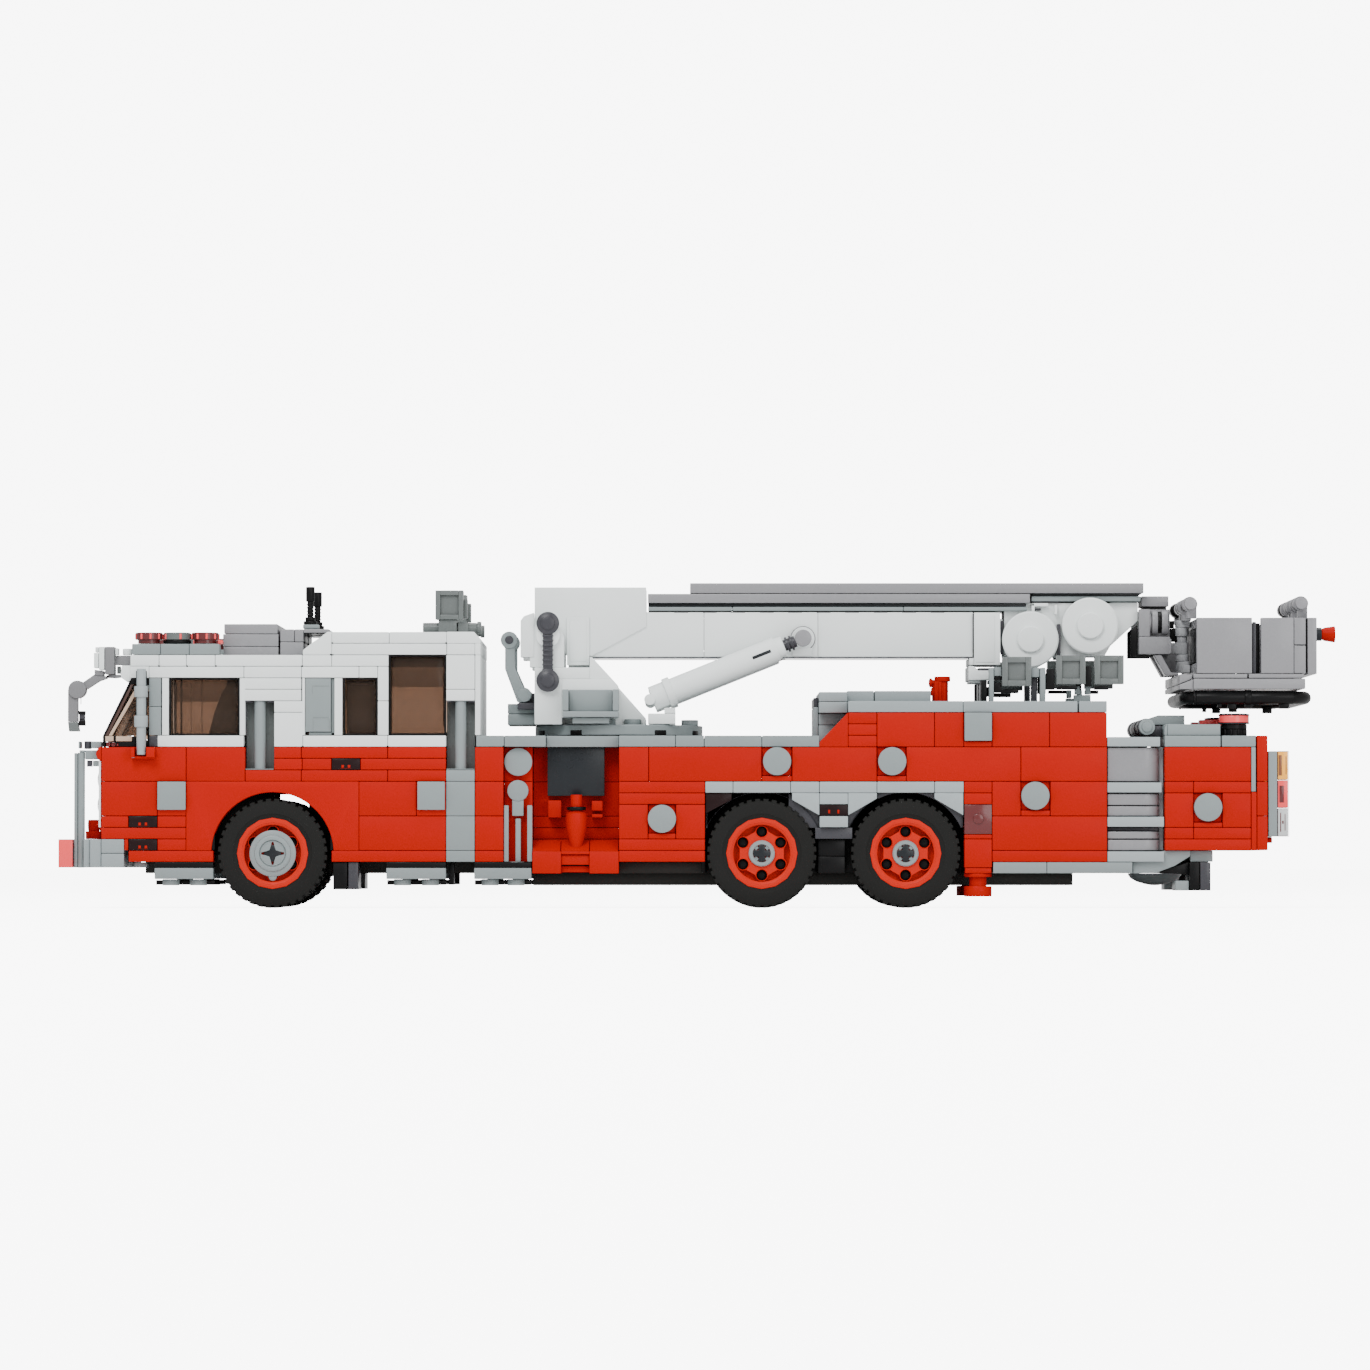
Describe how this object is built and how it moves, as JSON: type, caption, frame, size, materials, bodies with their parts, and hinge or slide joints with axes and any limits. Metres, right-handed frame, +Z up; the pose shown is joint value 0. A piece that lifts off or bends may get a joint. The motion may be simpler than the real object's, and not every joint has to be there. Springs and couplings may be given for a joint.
{
  "type": "toy fire engine",
  "caption": "Brick-built toy tower-ladder fire engine with rolling wheels, slewing turret, lifting telescopic boom and a levelling basket.",
  "frame": {"origin": "middle of the model's bounding box, at the ground under the wheels", "axes": "-X is the front of the vehicle, +X the rear with the basket, +Y the vehicle's right side, +Z up"},
  "size_m": [0.3578, 0.0732, 0.0912],
  "materials": {
    "red": "glossy moulded ABS",
    "white": "glossy moulded ABS",
    "light_grey": "glossy moulded ABS",
    "dark_grey": "glossy moulded ABS",
    "black": "glossy moulded ABS",
    "smoked_glass": "clear brown-tinted polycarbonate",
    "clear_red": "clear red polycarbonate",
    "clear": "clear polycarbonate",
    "clear_amber": "clear amber polycarbonate",
    "tyre": "soft black rubber"
  },
  "bodies": {
    "truck": {"chassis_frame": "dark_grey", "cab_lower_walls": "red", "cab_upper_walls": "white", "cab_roof": "white", "windscreen": "smoked_glass", "cab_side_windows": "smoked_glass", "cab_seats": "dark_grey", "cab_side_fittings": "light_grey", "front_bumper": "light_grey", "front_rails": "light_grey", "grille": "white", "hose_couplings": "red", "mirror_arm": "light_grey", "roof_equipment": "light_grey", "aerials_and_searchlights": "dark_grey", "side_tiles": "light_grey", "marker_lamps": "dark_grey", "body_side_walls": "red", "bay_panels": "dark_grey", "outriggers": "red", "wheel_guards": "light_grey", "body_deck": "light_grey", "upper_body": "red", "upper_deck": "light_grey", "deck_lamps": "dark_grey", "rear_jacks": "red", "equipment_rack": "light_grey", "rear_box": "red", "rear_deck": "light_grey", "underbody_fittings": "light_grey", "mudflaps": "black", "red_lamps": "clear_red", "clear_lamps": "clear", "amber_lamps": "clear_amber"},
    "front_wheels": {"front_axle": "dark_grey", "front_rims": "red", "front_tyres": "tyre"},
    "rear_wheels_first": {"rear_first_axle": "dark_grey", "rear_first_rims": "red", "rear_first_tyres": "tyre"},
    "rear_wheels_second": {"rear_second_axle": "dark_grey", "rear_second_rims": "red", "rear_second_tyres": "tyre"},
    "turret": {"turntable": "light_grey", "turret_fittings": "light_grey", "turret_sides": "white", "pivot_links": "dark_grey"},
    "boom": {"lower_boom": "white", "fixed_rail": "light_grey"},
    "extension": {"inner_beam": "white", "hose_reels": "white", "top_rail": "light_grey"},
    "barrels": {"lift_barrels": "white"},
    "rods": {"lift_rods": "dark_grey"},
    "basket_arm": {"basket_bracket": "light_grey"},
    "basket": {"basket": "light_grey", "basket_hose": "black"}
  },
  "joints": [
    {"name": "front_wheel_spin", "type": "hinge", "parent": "truck", "child": "front_wheels", "pos_m": [-0.11932, 0, 0.0152], "axis": [0, 1, 0], "continuous": true},
    {"name": "rear_first_wheel_spin", "type": "hinge", "parent": "truck", "child": "rear_wheels_first", "pos_m": [0.01668, 0, 0.0152], "axis": [0, 1, 0], "continuous": true},
    {"name": "rear_second_wheel_spin", "type": "hinge", "parent": "truck", "child": "rear_wheels_second", "pos_m": [0.05668, 0, 0.0152], "axis": [0, 1, 0], "continuous": true},
    {"name": "turret_slew", "type": "hinge", "parent": "truck", "child": "turret", "pos_m": [-0.02332, 0, 0.048], "axis": [0, 0, 1], "range_deg": [-110, 110]},
    {"name": "boom_lift", "type": "hinge", "parent": "turret", "child": "boom", "pos_m": [-0.04332, 0, 0.07584], "axis": [0, -1, 0], "range_deg": [0, 55]},
    {"name": "cylinder_swing", "type": "hinge", "parent": "turret", "child": "barrels", "pos_m": [-0.01452, 0, 0.05824], "axis": [0, -1, 0], "range_deg": [0, 59.18]},
    {"name": "rod_slide", "type": "slide", "parent": "barrels", "child": "rods", "axis": [0.9278, 0, 0.3732], "range_m": [0, 0.03133]},
    {"name": "boom_extension", "type": "slide", "parent": "boom", "child": "extension", "axis": [1, 0, 0], "range_m": [0, 0.064]},
    {"name": "basket_level", "type": "hinge", "parent": "extension", "child": "basket_arm", "pos_m": [0.12708, 0, 0.08], "axis": [0, -1, 0], "range_deg": [-55, 0]},
    {"name": "basket_swivel", "type": "hinge", "parent": "basket_arm", "child": "basket", "pos_m": [0.13588, 0, 0.072], "axis": [0, 0, 1], "range_deg": [-15, 15]}
  ],
  "couplings": [
    {"joint": "cylinder_swing", "follows": "boom_lift", "ratio": 1.067},
    {"joint": "rod_slide", "follows": "boom_lift", "m_per_rad": 0.03222},
    {"joint": "basket_level", "follows": "boom_lift", "ratio": -1}
  ]
}
